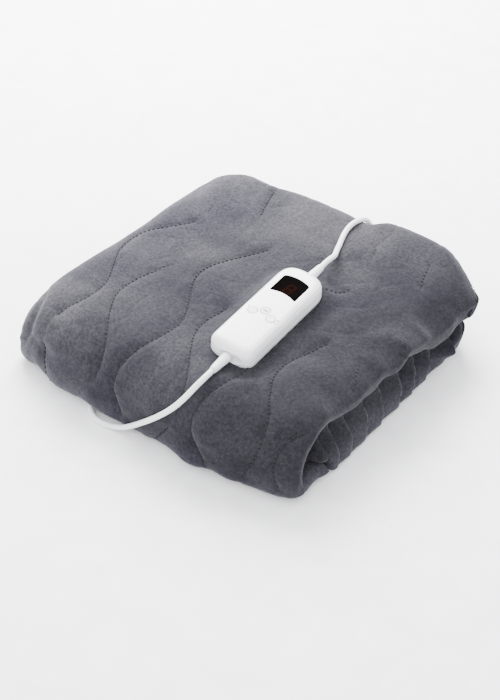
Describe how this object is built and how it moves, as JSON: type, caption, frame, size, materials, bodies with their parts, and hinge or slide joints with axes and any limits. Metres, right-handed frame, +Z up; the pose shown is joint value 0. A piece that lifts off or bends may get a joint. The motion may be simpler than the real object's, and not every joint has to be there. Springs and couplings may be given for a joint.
{
  "type": "folded electric heated throw",
  "caption": "Quilted grey fleece heated throw, folded into a square bundle, with a white in-line handset, press keys, a pull-out lead connector and a coiled mains lead",
  "frame": {"origin": "centre of the folded throw's footprint, on the surface it lies on", "axes": "+Z up, +X towards the open pleated side, -Y towards the big front roll, so the display end of the handset points to +Y"},
  "size_m": [0.342, 0.4173, 0.1076],
  "materials": {
    "fleece": "velvet flannel fleece, short dense pile",
    "heating_carrier": "thin non-woven carrier with the heating wires laid in it",
    "label": "blank satin ribbon",
    "white_plastic": "glossy white ABS",
    "key_plastic": "white silicone-backed plastic",
    "smoked_window": "smoked black acrylic, polished",
    "black_plastic": "black moulded plastic",
    "board": "green printed circuit board",
    "capacitor": "yellow film capacitor case",
    "fuse_glass": "glass fuse body",
    "steel": "zinc-plated steel",
    "brass": "plain brass contacts",
    "white_pvc": "soft white PVC sheath",
    "plug_plastic": "white moulded plug",
    "fuse_carrier": "pale grey fuse carrier"
  },
  "bodies": {
    "throw": {"board_fuse": "fuse_glass", "care_label": "label", "circuit_board": "board", "cord_clamp_lead": "steel", "cord_clamp_mains": "steel", "cord_tie": "black_plastic", "display_module": "black_plastic", "display_window": "smoked_window", "film_capacitor": "capacitor", "handset_bottom_shell": "white_plastic", "handset_top_shell": "white_plastic", "housing_screw_1": "steel", "housing_screw_2": "steel", "housing_screw_3": "steel", "housing_screw_4": "steel", "lead_cord": "white_pvc", "mains_coil": "white_pvc", "mains_cord": "white_pvc", "mains_cord_tail": "white_pvc", "plug_base": "plug_plastic", "plug_cover": "plug_plastic", "plug_fuse_carrier": "fuse_carrier", "plug_pin_earth": "brass", "plug_pin_live": "brass", "plug_pin_neutral": "brass", "plug_relief": "white_pvc", "plug_screw": "steel", "socket_pin_1": "brass", "socket_pin_2": "brass", "socket_pin_3": "brass", "socket_shell": "white_plastic", "socket_tab": "fleece", "strain_relief_lead": "white_pvc", "strain_relief_mains": "white_pvc", "tact_switch_centre": "black_plastic", "tact_switch_left": "black_plastic", "tact_switch_right": "black_plastic", "throw_back_fleece": "fleece", "throw_face_fleece": "fleece", "throw_heating_layer": "heating_carrier", "triac": "black_plastic"},
    "key_left_cap": {"key_left": "key_plastic"},
    "key_centre_cap": {"key_centre": "key_plastic"},
    "key_right_cap": {"key_right": "key_plastic"},
    "connector": {"connector_body": "white_plastic", "connector_relief": "white_pvc", "connector_contact_1": "brass", "connector_contact_2": "brass", "connector_contact_3": "brass"}
  },
  "joints": [
    {"name": "key_left_press", "type": "slide", "parent": "throw", "child": "key_left_cap", "axis": [-0.1003, 0.0629, -0.993], "range_m": [0, 0.0008], "stiffness_N_per_m": 1500},
    {"name": "key_centre_press", "type": "slide", "parent": "throw", "child": "key_centre_cap", "axis": [-0.1003, 0.0629, -0.993], "range_m": [0, 0.0008], "stiffness_N_per_m": 1500},
    {"name": "key_right_press", "type": "slide", "parent": "throw", "child": "key_right_cap", "axis": [-0.1003, 0.0629, -0.993], "range_m": [0, 0.0008], "stiffness_N_per_m": 1500},
    {"name": "connector_pull", "type": "slide", "parent": "throw", "child": "connector", "axis": [-1, 0, 0], "range_m": [0, 0.015], "deforming": ["lead_cord"]}
  ]
}
